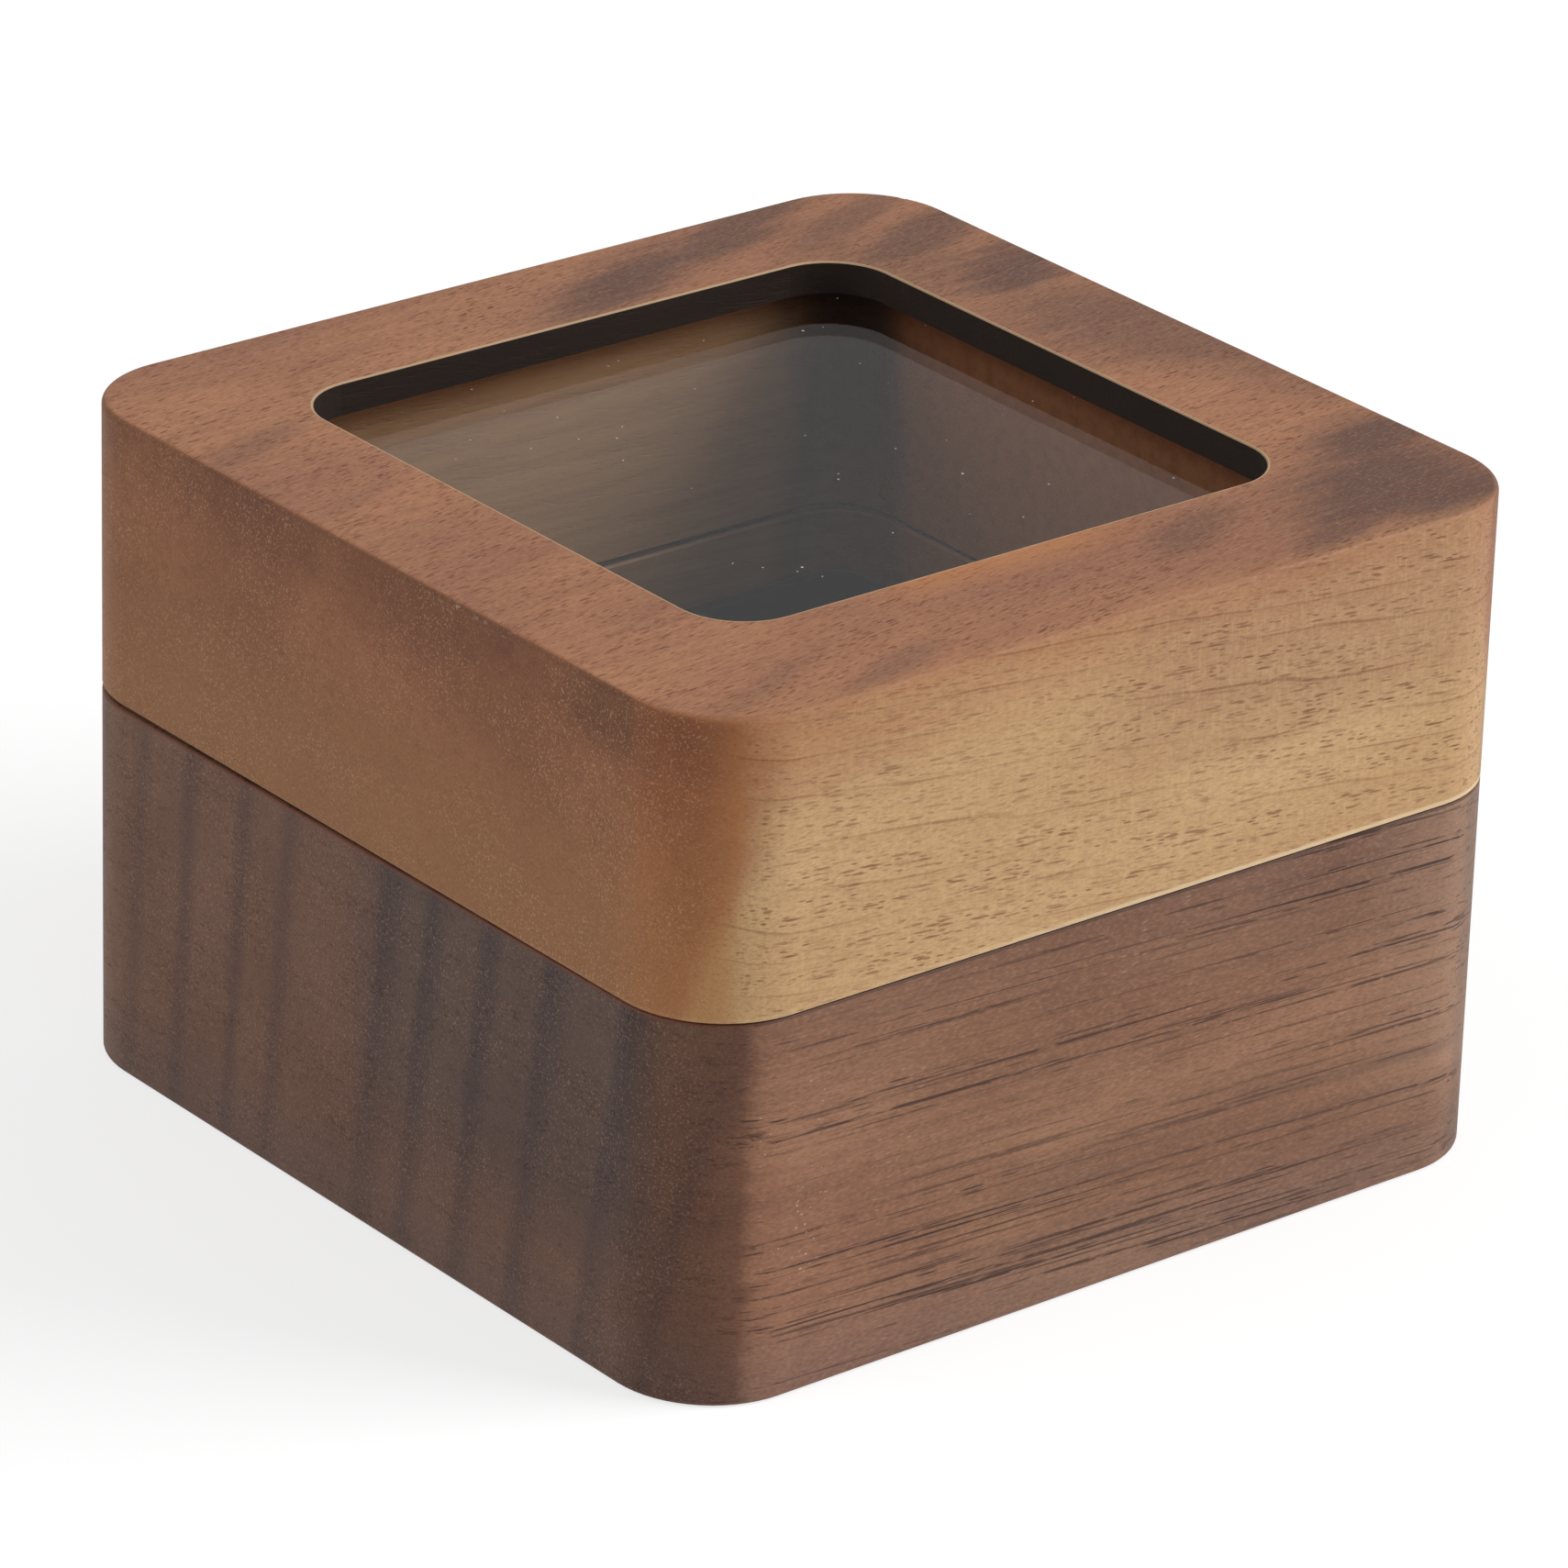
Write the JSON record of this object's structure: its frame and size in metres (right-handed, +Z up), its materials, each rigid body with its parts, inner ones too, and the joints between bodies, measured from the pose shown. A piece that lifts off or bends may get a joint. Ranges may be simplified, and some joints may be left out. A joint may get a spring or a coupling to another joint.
{
  "type": "ring display box",
  "caption": "Square hinged wooden box with rounded corners and a clear window in its lid, holding rings upright between padded velvet bars.",
  "frame": {"origin": "middle of the base's underside, on the surface that the box stands on", "axes": "+Z up through the window, front of the box towards -Y, hinges at +Y, width along X"},
  "size_m": [0.075, 0.075, 0.0514],
  "materials": {
    "base_walnut": "satin oiled",
    "lid_walnut": "satin oiled",
    "clear_pane": "gloss",
    "black_board": "matt black hardboard",
    "black_velvet": "short pile velvet",
    "hinge_brass": "brushed",
    "pin_steel": "drawn wire",
    "screw_brass": "turned",
    "magnet_nickel": "nickel plated"
  },
  "bodies": {
    "base": {"base_box": "base_walnut", "insert_board": "black_board", "ring_pad_front": "black_velvet", "ring_pad_middle": "black_velvet", "ring_pad_back": "black_velvet", "hinge_lower_leaf_left": "hinge_brass", "hinge_lower_leaf_right": "hinge_brass", "hinge_pin_left": "pin_steel", "hinge_pin_right": "pin_steel", "hinge_screws_base": "screw_brass", "base_magnet_left": "magnet_nickel", "base_magnet_right": "magnet_nickel"},
    "lid": {"lid_frame": "lid_walnut", "window_pane": "clear_pane", "hinge_upper_leaf_left": "hinge_brass", "hinge_upper_leaf_right": "hinge_brass", "hinge_screws_lid": "screw_brass", "lid_magnet_left": "magnet_nickel", "lid_magnet_right": "magnet_nickel"}
  },
  "joints": [
    {"name": "lid_hinge", "type": "hinge", "parent": "base", "child": "lid", "pos_m": [0, 0.0349, 0.02925], "axis": [-1, 0, 0], "range_deg": [0, 100]}
  ]
}
